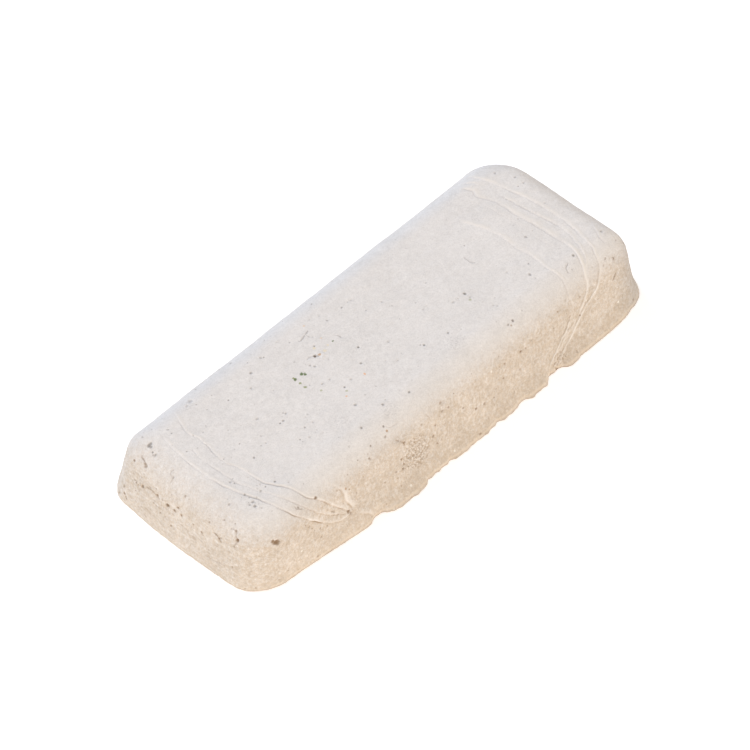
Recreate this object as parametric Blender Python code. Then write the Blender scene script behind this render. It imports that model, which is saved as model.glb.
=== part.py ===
"""Gymnastics chalk block: one bar of cast magnesium carbonate, lying on its flat foot.

Frame: metres, +X along the bar, +Y across it, +Z up, origin at the middle of the foot's box.
The sides are called near_end (-X), far_end (+X), front (-Y) and back (+Y).

The bar is a loft of level outlines.  Every outline is a rounded rectangle with a different
radius at each corner.  Going up, a side leaves the foot in a short concave flare, climbs as a
drafted wall and rolls over a broad crown radius into the flat top.  The front wall stands more
upright towards the near end.  Past a small step, its foot carries the ragged flash that
squeezed out under the mould.
"""

import math

import bmesh
import bpy

NAME = "gymnastics_chalk_block"

# The bar's size over its foot, before the ends' bulge and the flash.
LENGTH = 0.1200
WIDTH = 0.0478
HEIGHT = 0.0183

# Each side's wall: draft from the vertical, crown radius, and how far the foot flares out.
SIDES = {
    "near_end": {"draft": math.radians(6.4), "crown": 0.0073, "flare": 0.0},
    "far_end": {"draft": math.radians(8.3), "crown": 0.0063, "flare": 0.0008},
    "front": {"draft": math.radians(11.7), "crown": 0.0078, "flare": 0.0005},
    "back": {"draft": math.radians(13.5), "crown": 0.0067, "flare": 0.0},
}
FLARE_HEIGHT = 0.0042

# Corner radii of the foot, and how they tighten as the outline shrinks towards the top.
CORNER_RADII = {
    ("far_end", "back"): 0.0114,
    ("near_end", "back"): 0.0061,
    ("near_end", "front"): 0.0090,
    ("far_end", "front"): 0.0073,
}
CORNER_TIGHTENING = 0.6
CORNER_RADIUS_MIN = 0.0016

# The near end bulges between its corners.
NEAR_END_BULGE = 0.0015

# Towards the near end the front wall's foot is tucked in, so the wall is more upright.
TUCK = 0.0022
TUCK_START = -0.0310
TUCK_RUN = 0.0200

# A chip is missing from the front's foot where the tucked part meets the flash.
CHIP_CENTRE = -0.0270
CHIP_HALF_WIDTH = 0.0022
CHIP_DEPTH = 0.0007

# The flash along the front's foot: a narrow skirt, and scallops (centre, half width, reach).
SKIRT_START = -0.0250
SKIRT_STOP = 0.0260
SKIRT_RAMP = 0.0015
SKIRT_REACH = 0.00045
SCALLOPS = (
    (-0.0185, 0.0065, 0.00155),
    (-0.0080, 0.0025, 0.00060),
    (0.0018, 0.0085, 0.00100),
    (0.0126, 0.0040, 0.00095),
    (0.0218, 0.0042, 0.00130),
    (0.0330, 0.0030, 0.00140),
    (0.0410, 0.0115, 0.00110),
)
FLASH_HEIGHT = 0.0038

# How finely the loft is divided.
FLARE_LEVELS = 4
CROWN_LEVELS = 8
ARC_STEPS = 8
SIDE_STEPS = {"near_end": 6, "far_end": 6, "front": 76, "back": 14}

CHALK_COLOUR = (0.79, 0.74, 0.68, 1.0)
CHALK_ROUGHNESS = 0.9


def clear_scene():
    for thing in list(bpy.data.objects):
        bpy.data.objects.remove(thing, do_unlink=True)


def chalk_material():
    material = bpy.data.materials.new("chalk")
    material.use_nodes = True
    shader = material.node_tree.nodes["Principled BSDF"]
    shader.inputs["Base Color"].default_value = CHALK_COLOUR
    shader.inputs["Roughness"].default_value = CHALK_ROUGHNESS
    shader.inputs["Metallic"].default_value = 0.0
    material.diffuse_color = CHALK_COLOUR
    return material


def smooth_step(value):
    value = min(max(value, 0.0), 1.0)
    return value * value * (3 - 2 * value)


def wall_profile(side):
    """(inset, height) pairs of one side, from the edge of the foot to the edge of the top."""
    draft, crown, flare = (SIDES[side][key] for key in ("draft", "crown", "flare"))
    slope = math.tan(draft)
    profile = []
    for step in range(FLARE_LEVELS + 1):
        share = step / FLARE_LEVELS
        height = FLARE_HEIGHT * share
        profile.append((flare * (1 - (1 - share) ** 2) + slope * height, height))
    turn = math.pi / 2 - draft
    wall_top = HEIGHT - crown * (1 - math.cos(turn))
    wall_inset = flare + slope * wall_top
    for step in range(CROWN_LEVELS + 1):
        angle = turn * (1 - step / CROWN_LEVELS)
        inset = wall_inset + crown * (math.sin(turn) - math.sin(angle))
        profile.append((inset, HEIGHT - crown * (1 - math.cos(angle))))
    return profile


def front_foot(x):
    """How far the front's foot stands out of the straight wall at one place along the bar."""
    skirt = min((x - SKIRT_START) / SKIRT_RAMP, (SKIRT_STOP - x) / SKIRT_RAMP)
    reach = SKIRT_REACH * smooth_step(skirt)
    for centre, half_width, height in SCALLOPS:
        offset = abs(x - centre) / half_width
        if offset < 1:
            reach = max(reach, height * (1 - offset ** 4))
    chip = abs(x - CHIP_CENTRE) / CHIP_HALF_WIDTH
    if chip < 1:
        reach -= CHIP_DEPTH * (1 - chip ** 2)
    return reach


def hand_made(x, y, z):
    """Moves one point of the regular loft to where the cast bar has it."""
    across = min((2 * y / WIDTH) ** 2, 1.0)
    along = min((2 * x / LENGTH) ** 2, 1.0)
    shift_x = -NEAR_END_BULGE * along * (1 - across) if x < 0 else 0.0
    shift_y = 0.0
    if y < 0:
        wall_share = z / (HEIGHT - SIDES["front"]["crown"])
        tuck = TUCK * min(max((TUCK_START - x) / TUCK_RUN, 0.0), 1.0)
        flash = front_foot(x) * (1 - smooth_step(z / FLASH_HEIGHT))
        shift_y = (tuck * (1 - smooth_step(wall_share)) - flash) * across
    return x + shift_x, y + shift_y, z


def level_outline(profiles, level):
    """One level's outline, counter-clockwise from where the front meets the far end."""
    inset = {side: profile[level][0] for side, profile in profiles.items()}
    height = {side: profile[level][1] for side, profile in profiles.items()}
    edge = {
        "near_end": -LENGTH / 2 + inset["near_end"],
        "far_end": LENGTH / 2 - inset["far_end"],
        "front": -WIDTH / 2 + inset["front"],
        "back": WIDTH / 2 - inset["back"],
    }
    turns = (("front", "far_end"), ("far_end", "back"), ("back", "near_end"), ("near_end", "front"))
    arcs = []
    for place, (before, after) in enumerate(turns):
        end, long_side = (after, before) if place % 2 == 0 else (before, after)
        shrink = CORNER_TIGHTENING * (inset[end] + inset[long_side]) / 2
        radius = max(CORNER_RADII[end, long_side] - shrink, CORNER_RADIUS_MIN)
        centre_x = edge[end] - math.copysign(radius, edge[end])
        centre_y = edge[long_side] - math.copysign(radius, edge[long_side])
        arc = []
        for step in range(ARC_STEPS + 1):
            turned = math.pi / 2 * step / ARC_STEPS
            angle = turned + (place - 1) * math.pi / 2
            share = math.sin(turned) ** 2
            arc.append((centre_x + radius * math.cos(angle),
                        centre_y + radius * math.sin(angle),
                        height[before] * (1 - share) + height[after] * share))
        arcs.append((arc, after))
    outline = []
    for place, (arc, side) in enumerate(arcs):
        outline += arc
        first, last = arc[-1], arcs[(place + 1) % len(arcs)][0][0]
        for step in range(1, SIDE_STEPS[side]):
            share = step / SIDE_STEPS[side]
            outline.append(tuple(a + (b - a) * share for a, b in zip(first, last)))
    return [hand_made(*point) for point in outline]


def loft(outlines):
    """A closed mesh through the outlines, capped flat at the foot and at the top."""
    mesh = bmesh.new()
    rings = [[mesh.verts.new(point) for point in outline] for outline in outlines]
    count = len(rings[0])
    for lower, upper in zip(rings, rings[1:]):
        for place in range(count):
            following = (place + 1) % count
            mesh.faces.new((lower[place], lower[following], upper[following], upper[place]))
    mesh.faces.new(reversed(rings[0]))
    mesh.faces.new(rings[-1])
    return mesh


def centre_on_foot(mesh):
    """Moves the middle of the outer box to the origin."""
    for axis in (0, 1):
        values = [vert.co[axis] for vert in mesh.verts]
        middle = (min(values) + max(values)) / 2
        for vert in mesh.verts:
            vert.co[axis] -= middle


def chalk_block():
    profiles = {side: wall_profile(side) for side in SIDES}
    levels = len(profiles["front"])
    mesh = loft([level_outline(profiles, level) for level in range(levels)])
    centre_on_foot(mesh)
    data = bpy.data.meshes.new("chalk_block")
    mesh.to_mesh(data)
    mesh.free()
    data.shade_smooth()
    data.set_sharp_from_angle(angle=math.radians(40))
    data.materials.append(chalk_material())
    return bpy.data.objects.new("chalk_block", data)


def main():
    clear_scene()
    collection = bpy.data.collections.new(NAME)
    bpy.context.scene.collection.children.link(collection)
    collection.objects.link(chalk_block())


main()
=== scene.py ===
"""Looks of the gymnastics chalk block: one cast bar of magnesium carbonate on a plain pale floor.

The bar's skin is a fine net over the design's own shape.  The net is made finer where film
creases, pits and chips need it, and every mark is then pressed into it or raised out of it.
Millimetres are used for everything on the bar; MM turns them into metres.
"""

import math

import bmesh
import bpy
import numpy as np
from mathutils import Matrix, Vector
from mathutils.bvhtree import BVHTree


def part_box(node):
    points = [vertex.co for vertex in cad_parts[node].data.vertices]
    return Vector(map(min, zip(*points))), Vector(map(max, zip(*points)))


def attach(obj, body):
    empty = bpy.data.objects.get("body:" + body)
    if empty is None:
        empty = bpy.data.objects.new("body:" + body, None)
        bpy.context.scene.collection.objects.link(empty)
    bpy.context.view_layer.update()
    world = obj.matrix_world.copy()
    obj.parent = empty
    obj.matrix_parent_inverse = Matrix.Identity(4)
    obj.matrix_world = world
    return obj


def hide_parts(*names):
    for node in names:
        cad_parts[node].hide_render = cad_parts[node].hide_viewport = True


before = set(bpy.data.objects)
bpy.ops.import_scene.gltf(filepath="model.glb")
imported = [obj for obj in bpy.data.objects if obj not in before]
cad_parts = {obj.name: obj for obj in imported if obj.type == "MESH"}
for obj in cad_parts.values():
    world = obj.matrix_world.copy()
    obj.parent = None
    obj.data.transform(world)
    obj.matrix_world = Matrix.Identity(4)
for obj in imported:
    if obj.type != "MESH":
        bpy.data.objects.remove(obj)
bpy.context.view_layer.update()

MM = 0.001
CAD_NODE = "chalk_block"
block_low, block_high = (np.array(corner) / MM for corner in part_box(CAD_NODE))

# ---- The bar's design, in millimetres.  Sides: near_end -X, far_end +X, front -Y, back +Y. ----

SIDES = {
    "near_end": {"draft": math.radians(6.4), "crown": 7.3, "flare": 0.0},
    "far_end": {"draft": math.radians(8.3), "crown": 6.3, "flare": 0.8},
    "front": {"draft": math.radians(11.7), "crown": 7.8, "flare": 0.5},
    "back": {"draft": math.radians(13.5), "crown": 6.7, "flare": 0.0},
}
FLARE_HEIGHT = 4.2
CORNER_RADII = {
    ("far_end", "back"): 11.4,
    ("near_end", "back"): 6.1,
    ("near_end", "front"): 9.0,
    ("far_end", "front"): 7.3,
}
CORNER_TIGHTENING = 0.6
CORNER_RADIUS_MIN = 1.6
NEAR_END_BULGE = 1.5
TUCK, TUCK_START, TUCK_RUN = 2.2, -31.0, 20.0
CHIP_CENTRE, CHIP_HALF_WIDTH, CHIP_DEPTH = -27.0, 2.2, 0.7
SKIRT_START, SKIRT_STOP, SKIRT_RAMP, SKIRT_REACH = -25.0, 26.0, 1.5, 0.45
SCALLOPS = (
    (-18.5, 6.5, 1.55),
    (-8.0, 2.5, 0.60),
    (1.8, 8.5, 1.00),
    (12.6, 4.0, 0.95),
    (21.8, 4.2, 1.30),
    (33.0, 3.0, 1.40),
    (41.0, 11.5, 1.10),
)
FLASH_HEIGHT = 3.8

HEIGHT = block_high[2] - block_low[2]
LENGTH = block_high[0] - block_low[0] - NEAR_END_BULGE
WIDTH = block_high[1] - block_low[1] - max(reach for _, _, reach in SCALLOPS)

# The net: a grid over the top and the foot, and rings down the walls.
FOOT_EDGE_RADIUS = 0.35
FOOT_EDGE_LEVELS = 4
WALL_LEVELS = 34
CROWN_LEVELS = 32
ALONG_STEPS = 350
ACROSS_STEPS = 112
ARC_STEPS = 24
FINE_REACH = (1.5, 0.9)
FINE_PIT_REACH = 1.5
FINE_PIT_EDGE = 0.3
FINE_CRUMB_REACH = 1.2
NICK_REACH = 0.5
TRIANGLES = 196_000
# How far the marks may stand out of the design's box.
STANDING_OUT = 0.3
# Points of the flat foot stay where they are.
FLAT_FOOT_HEIGHT, FLAT_FOOT_UP = 1e-4, -0.99

# ---- Marks on the bar ----
# Creases, nicks, pits and grains have places given to half a millimetre, as one side shows
# them: top (x, y), front (x, z) and near_end (y, z).  They are laid on the bar from that side.
# Patches are balls round a point (x, y, z).

# Creases the mould's lining film left, from back to front: (ridge, groove and width against full
# ones, places on the top, places on the front).
CREASES = {
    "near_inner": (1.0, 1.0, 0.9,
        ((-45, 18), (-46.5, 14.5), (-47.5, 11), (-47, 7.5), (-48, 0.5), (-47, -3),
         (-46.5, -7.5), (-46, -10), (-44, -13.5), (-43, -15.5)),
        ((-42, 16.5), (-40.5, 15.5), (-36.5, 11), (-33, 7))),
    "near_outer": (1.1, 1.2, 0.9,
        ((-51.5, 14.5), (-52.5, 11), (-53, 5), (-53, 0.5), (-52.5, -4), (-51.5, -8),
         (-50, -12), (-48.5, -16)),
        ((-46, 15), (-41, 10), (-36.5, 6.5), (-32.5, 6.5))),
    "near_faint": (0.5, 0.7, 1.0,
        ((-50, 8.5), (-50.5, 3.5), (-50, -5), (-49, -8.5), (-47.5, -12.5)),
        ((-44, 16), (-39.5, 11), (-34, 7))),
    "near_soft": (0.35, 0.5, 2.0, ((-50, 15), (-50.5, 13), (-51.5, 10)), ()),
    "near_short": (1.2, 1.0, 1.3, (),
        ((-36.5, 16.5), (-35.5, 15.5), (-34, 13.5), (-33.5, 11), (-32.5, 8.5),
         (-31.5, 6))),
    "near_lip": (0.7, 0.7, 1.2, (), ((-32, 6), (-30.5, 4.5), (-28.5, 3), (-26.5, 0.5))),
    "far_inner": (1.3, 0.6, 1.7,
        ((41.5, 17.5), (42.5, 16.5), (43.5, 14.5), (43, 12.5), (44.5, 8.5), (44.5, 3),
         (45, -0.5), (45.5, -6.5), (45.5, -12), (44, -16.5)),
        ((43, 16), (42, 13.5), (40.5, 11.5), (38.5, 9))),
    "far_behind": (0.8, 0.4, 1.4, ((43, 18), (44.5, 17), (45.5, 15), (45.5, 14)), ()),
    "far_outer": (1.1, 0.6, 1.4,
        ((45.5, 19), (46.5, 18), (47.5, 15), (48.5, 11), (50, 2.5), (50.5, -5.5),
         (49.5, -11.5), (48.5, -16)),
        ((47, 15), (45, 12.5), (43, 11), (39, 8.5), (35.5, 5.5), (32, 3), (29.5, 1))),
    "far_middle": (1.0, 0.8, 1.3,
        ((46.5, 9.5), (47.5, 0.5), (48.5, -6), (48, -9.5), (47, -12.5), (46, -15.5)),
        ((44, 16.5),)),
    "far_thin": (1.0, 0.35, 1.5,
        ((34.5, 12), (36, 7.5), (37.5, 2.5), (37.5, -3), (38, -8), (37.5, -12),
         (38, -16.5)),
        ((37, 14.5), (37, 10.5))),
    "far_side": (1.0, 0.7, 1.3, (),
        ((36.5, 10.5), (34, 7.5), (32.5, 6.5), (30.5, 4.5), (29, 3.5), (26.5, 1))),
    "far_low": (0.8, 0.5, 1.2, (),
        ((38.5, 9), (36, 7.5), (34, 6.5), (32, 5), (30, 4), (28.5, 3), (27.5, 1.5))),
    "far_branch": (0.7, 0.3, 1.2, (), ((36.5, 15.5), (36, 14.5), (35, 13.5))),
    "far_short": (1.0, 0.8, 1.3, ((54, -10), (53, -12.5), (52, -14.5), (52, -16.5)), ()),
    "far_foot": (0.5, 0.3, 1.8, (), ((47, 4.5), (44.5, 3.5), (42, 3), (37, 2))),
    "far_faint": (0.35, 0.2, 1.2, ((42, 12), (42.5, 2), (43, -10)), ()),
}
OUTSIDE = 200.0
ROUTE_STEP = 0.15
ROUTE_RUN = 16
ROUTE_FADE, ROUTE_END_SHARE = 3.0, 0.1
# How much a crease's ridge and groove come and go: mean, spread, size, least and most.
RIDGE_LIFE = (1.0, 0.25, 5.0, 0.5, 1.4)
GROOVE_LIFE = (0.6, 0.5, 6.0, 0.12, 1.5)
ROUTE_WANDER, ROUTE_WANDER_SIZE = 0.055, 2.2
CREASE_REACH = 2.2
RIDGE_HEIGHT, RIDGE_WIDTH, RIDGE_TAIL, RIDGE_PLACE = 0.125, 0.20, 0.55, -0.06
# The far creases are drawn tight where they turn down the front.
TIGHT_SHARE, TIGHT_START, TIGHT_RUN = 0.42, -7.0, 7.0
GROOVE_DEPTH, GROOVE_WIDTH, GROOVE_PLACE = 0.11, 0.14, 0.30

# Short nicks and scratches: (side, depth, half width, how dark their painted shade is, places).
NICKS = (
    ("near_end", 0.14, 0.16, 0.7, ((15, 15.5), (13, 15), (13.5, 14.5))),
    ("near_end", 0.12, 0.15, 0.6, ((12, 10.5), (10, 10.5), (8, 10))),
    ("near_end", 0.16, 0.18, 0.7, ((-8, 11.5), (-9, 11), (-9.5, 10.5))),
    ("near_end", 0.12, 0.20, 0.4, ((-12.5, 15), (-13, 14), (-13.5, 13.5), (-13, 11.5))),
    ("near_end", 0.10, 0.15, 0.4, ((7, 17), (7, 16.5), (6, 16), (6, 15.5))),
    ("near_end", 0.06, 0.16, 0.3, ((-6.5, 4), (-8.5, 4), (-11, 4.5))),
    ("near_end", 0.12, 0.14, 0.5, ((11, 11), (9.5, 10.5), (8.5, 10))),
    ("near_end", 0.10, 0.14, 0.4, ((-11, 14.5), (-11.5, 15), (-12.5, 15))),
    ("near_end", 0.10, 0.15, 0.3, ((-17, 6), (-16.5, 5.5), (-16.5, 4.5))),
    ("front", 0.12, 0.16, 0.5, ((-45.5, 16.5), (-45.5, 16), (-44.5, 15.5))),
    ("front", 0.12, 0.15, 0.6, ((-38, 10.5), (-37, 9.5))),
    ("front", 0.12, 0.16, 0.5, ((51, 11.5), (50, 10.5))),
    ("front", 0.08, 0.14, 0.15, ((-17.5, 17), (-16.5, 16.5), (-14.5, 16.5))),
    ("front", 0.14, 0.15, 0.5, ((-17, 14), (-16, 13), (-15.5, 12))),
    ("front", 0.20, 0.20, 0.7, ((-33, 6), (-33, 6.5), (-33.5, 6.5))),
    ("front", 0.40, 0.35, 0.35, ((29.5, 1), (29.5, 0.5))),
    ("front", 0.25, 0.30, 0.35, ((27.5, 1), (27.5, 0.5))),
    ("top", 0.10, 0.14, 0.6, ((-13.5, 11.5), (-12, 12), (-10.5, 12.5))),
    ("top", 0.08, 0.14, 0.5, ((-11.5, 12), (-11.5, 11), (-11, 10.5))),
    ("top", 0.12, 0.15, 0.4, ((27.5, 2.5), (27.5, 1), (28, 0))),
    ("top", 0.12, 0.15, 0.5, ((41.5, -14.5), (40.5, -15), (40, -16))),
    ("top", 0.12, 0.14, 0.5, ((-7.5, 7.5), (-7, 6.5), (-7, 6))),
    ("top", 0.10, 0.13, 0.4, ((-16, 7), (-15, 7), (-14.5, 6.5))),
)
NICK_WANDER = 0.06
NICK_UNEVEN, NICK_UNEVEN_SIZE = 0.35, 0.8
NICK_WIDTHS = 3

# Pits of each side: (place, radius, how dark the painted shade at the bottom is); darker ones
# are deeper.
PITS = {
    "near_end": (
        ((14.5, 15.5), 0.26, 0.6), ((13.5, 15), 0.34, 0.7), ((15, 9), 0.26, 0.6),
        ((13, 9.5), 0.36, 0.8), ((8.5, 10.5), 0.36, 0.9), ((5.5, 10), 0.46, 1.0),
        ((3.5, 10), 0.36, 0.9), ((2.5, 11.5), 0.30, 0.8), ((1.5, 10), 0.34, 0.8),
        ((9.5, 7.5), 0.22, 0.6), ((18.5, 3), 0.32, 0.8), ((18, 2.5), 0.26, 0.6),
        ((-2, 10), 0.28, 0.7), ((-6, 13.5), 0.24, 0.6), ((-9, 11), 0.34, 0.8),
        ((-12.5, 15), 0.34, 0.7), ((-13.5, 13.5), 0.40, 1.0), ((-13, 11.5), 0.28, 0.6),
        ((1.5, 15), 0.28, 0.5), ((-9, 15.5), 0.26, 0.5),
    ),
    "front": (
        ((-53, 13), 0.70, 1.0), ((-53.5, 13.5), 0.40, 1.0), ((-52.5, 13), 0.36, 0.9),
        ((-40.5, 15.5), 0.36, 1.0), ((-45, 16), 0.30, 0.6), ((-33.5, 7), 0.38, 0.9),
        ((-18, 16.5), 0.26, 0.6), ((-19, 16), 0.26, 0.6), ((-15.5, 12.5), 0.34, 0.8),
        ((5.5, 6.5), 0.30, 0.9), ((8, 6), 0.32, 0.6), ((-3.5, 14.5), 0.34, 0.4),
        ((-2, 12.5), 0.30, 0.4), ((-33, 13), 0.28, 0.6), ((-17, 6.5), 0.34, 0.8),
        ((-19, 7), 0.24, 0.6), ((-7.5, 8.5), 0.34, 0.6), ((-17, 9), 0.26, 0.6),
        ((4.5, 1), 0.34, 0.8), ((20.5, 11.5), 0.28, 0.9), ((35.5, 1.5), 0.30, 0.7),
        ((51.5, 15), 0.28, 0.6), ((50.5, 11), 0.26, 0.6), ((55, 1.5), 0.30, 0.6),
    ),
    "top": (
        ((-54.5, 15), 0.36, 0.8), ((-55, 15), 0.40, 0.9), ((-55, 14.5), 0.34, 0.8),
        ((-57, 6), 0.30, 0.5), ((-55, -8), 0.32, 0.5), ((-51.5, -11.5), 0.34, 0.6),
        ((-52, -12.5), 0.34, 0.8), ((-52.5, -11.5), 0.26, 0.5), ((-51, -4.5), 0.28, 0.5),
        ((-43, -3.5), 0.28, 0.8), ((-41, 17), 0.50, 0.4), ((-42.5, 16.5), 0.35, 0.4),
        ((-18, -16.5), 0.28, 0.9), ((-22, -14), 0.30, 0.8), ((-8, -14.5), 0.32, 0.7),
        ((-18.5, -9), 0.34, 0.6), ((-14.5, -13), 0.30, 0.8), ((-14.5, 6.5), 0.36, 1.0),
        ((-14, 6), 0.22, 0.8), ((-17, 5.5), 0.28, 0.6), ((-16.5, 4.5), 0.28, 0.6),
        ((-5.5, 11.5), 0.24, 0.6), ((-6.5, 1.5), 0.28, 1.0), ((3.5, -8), 0.32, 0.8),
        ((3, -7.5), 0.22, 0.5), ((-1, -2), 0.26, 0.4), ((-16.5, -4), 0.28, 0.8),
        ((-19, 0), 0.28, 0.5), ((-22.5, 14.5), 0.30, 0.5), ((-27, 13), 0.38, 0.6),
        ((-30, 10), 0.28, 0.5), ((-30, 0), 0.28, 0.5), ((-14, -3.5), 0.26, 0.4),
        ((20, -4.5), 0.34, 1.0), ((20, -6), 0.26, 0.4), ((22, -16.5), 0.32, 1.0),
        ((20.5, -16.5), 0.28, 0.6), ((33.5, -11), 0.30, 0.7), ((44, -14), 0.34, 0.9),
        ((50.5, 14.5), 0.34, 0.5), ((52.5, 10.5), 0.30, 0.5), ((52.5, 8), 0.28, 0.5),
        ((53.5, -13.5), 0.32, 0.6),
    ),
}
PIT_DEPTH, PIT_DARK_DEPTH = 0.30, 0.45
PIT_SWELL = 1.22
PIT_EDGE_RAGGED, PIT_EDGE_SIZE = 0.13, 0.9
PIT_REACH, PIT_REACH_EXTRA = 2.2, 0.2
PIT_BOWL = 1.25
PIT_BOTTOM, PIT_BOTTOM_RUN = 0.45, 0.65

# Small pits at random places.
SCATTERED_PITS = 440
SCATTERED_PIT_RADIUS = (0.14, 0.30)
SCATTERED_PIT_DARK = (0.25, 0.85)
# How thick they lie: anywhere, added towards the near end and on the walls, and between clumps.
PITS_ANYWHERE, PITS_NEAR_END, PITS_ON_WALLS, PITS_BETWEEN_CLUMPS = 0.35, 0.9, 0.8, 0.3
NEAR_PITS_START, NEAR_PITS_RUN = -10.0, 50.0
CLUMP_SIZE, CLUMP_LEVEL = 12.0, 0.2

# The crumb of chalk stuck to the top, in two lobes, and a flat one apart: (x, y, radius, height).
CRUMBS = (
    (-13.0, 5.5, 0.95, 0.20),
    (-13.5, 5.0, 0.60, 0.14),
    (-10.0, 9.0, 0.40, 0.07),
)
CRUMB_RAGGED, CRUMB_EDGE_SIZE = 0.18, 0.9
CRUMB_REACH = 1.6

# The chip on the front crown: the middle of its face, its half width and its depth.
CROWN_CHIP = (-16.0, -18.7, 15.0)
CROWN_CHIP_RADIUS = 2.5
CROWN_CHIP_DEPTH = 0.26
# In shares of the chip's radius: where its face ends, where its lip is, and its slope.
CHIP_FACE, CHIP_FACE_RUN = 0.45, 0.55
CHIP_LIP, CHIP_LIP_RUN = -0.75, 0.25
CHIP_SLOPE_TOP, CHIP_SLOPE_RUN = 1.1, 1.5
CHIP_REACH = 1.3

# The broken patch of the front wall below the chip, and fainter ones: (x, y, z, radius, strength).
ROUGH_PATCHES = (
    (-12.6, -21.0, 7.9, 6.2, 1.0),
    (-4.5, -21.2, 7.5, 5.0, 0.5),
    (-59.4, 15.0, 9.5, 4.0, 0.55),
    (-54.0, -20.6, 5.0, 5.0, 0.4),
    (31.0, -22.4, 1.6, 3.0, 0.9),
    (51.2, -18.6, 14.6, 3.2, 0.5),
    (10.0, 22.0, 8.0, 6.0, 0.6),
    (-30.0, 22.0, 7.0, 4.5, 0.5),
    (58.5, 4.0, 7.5, 4.5, 0.6),
)
ROUGH_HEIGHT, ROUGH_SIZE = 0.15, 0.64
ROUGH_FINE_SHARE, ROUGH_CREST_CUT = 0.6, 0.5
ROUGH_DARK_START, ROUGH_PALE_START, ROUGH_TINT_RUN = 0.5, 0.4, 1.1
ROUGH_GROOVE_SHARE = 0.75
ROUGH_SPLIT_STRENGTH = 0.5
PATCH_CORE, PATCH_EDGE = 0.35, 0.65

# What counts as a wall, by how far the skin faces up: fully below the first value.
WALL_START, WALL_RUN = 0.1, 0.5
WALL_UP, UNDERSIDE_UP = 0.6, -0.2

# Drag lines: fine level ones on the ends' walls, fine upright ones on the long walls.
END_LINE_HEIGHT, END_LINE_SIZE, END_LINE_STRETCH = 0.034, 0.65, (0.1, 0.1, 1.0)
WALL_LINE_HEIGHT, WALL_LINE_SIZE, WALL_LINE_STRETCH = 0.020, 0.8, (1.0, 1.0, 0.14)

# Gentle lumps all over: (height, size, seed).
LUMPS = ((0.050, 24.0, 11), (0.025, 7.0, 12), (0.013, 2.4, 13))

# Over this many millimetres from the middle, a side's own marks come in.
FRONT_RUN = 10.0

# The foot of the front is ragged along the flash, from one place along the bar to another.
FOOT_RAGGED_STRETCH = (1.0, 1.0, 0.4)
FOOT_RAGGED_HEIGHT, FOOT_RAGGED_SIZE, FOOT_RAGGED_REACH = 0.13, 1.7, 1.4
FOOT_RAGGED_START, FOOT_RAGGED_STOP, FOOT_RAGGED_RAMP = -26.0, 36.0, 3.0
FOOT_EVEN_HEIGHT = 0.03
# The painted contact shadow at the foot's edge, the painted highlight on the rim just above it,
# and the fainter painted light on the wall above that.
FOOT_LINE_HEIGHT, FOOT_LINE_SHARE, FOOT_LINE_BREAKS, FOOT_BREAK_SIZE = 0.25, 0.90, 0.25, 3.0
FOOT_RIM_PLACE, FOOT_RIM_HEIGHT, FOOT_RIM_END = 0.68, 0.26, 0.25
FOOT_GLOW_SHARE, FOOT_GLOW_HEIGHT, FOOT_GLOW_RUN = 0.26, 1.4, 2.6

# How much painted warm shade (cream colour) the walls get: over the ends' crown (how far the skin
# faces up, share of the shade), and where that changes along the front.
CREAM = 0.80
SIDE_CREAM_START, SIDE_CREAM_RUN = 0.15, 0.80
END_CREAM_UP = (0.15, 0.27, 0.50, 0.62, 0.82, 0.93, 1.00)
END_CREAM_SHARE = (1.00, 0.88, 0.62, 0.52, 0.36, 0.20, 0.02)
LOW_WALL_HEIGHT, LOW_WALL_RUN = 4.5, 4.5
# Below this height pores, grooves and hollows are drawn browner; above it, grey.
BROWNER_BELOW, BROWNER_RUN = 18.1, 3.5
FRONT_CREAM, FRONT_CREAM_HEIGHT, FRONT_CREAM_START, FRONT_CREAM_RUN = 0.03, 12.0, -28.0, 6.0
NEAR_CORNER_CREAM, NEAR_CORNER_START, NEAR_CORNER_RUN = 0.02, -33.0, 12.0
# Painted shade: the walls round the far front corner are darker and a little greyer.
FAR_CORNER_X, FAR_CORNER_Y, FAR_CORNER_RUN = 48.0, -7.0, 10.0
FAR_CORNER_UP, FAR_CORNER_UP_RUN = 0.3, 0.5

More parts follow.
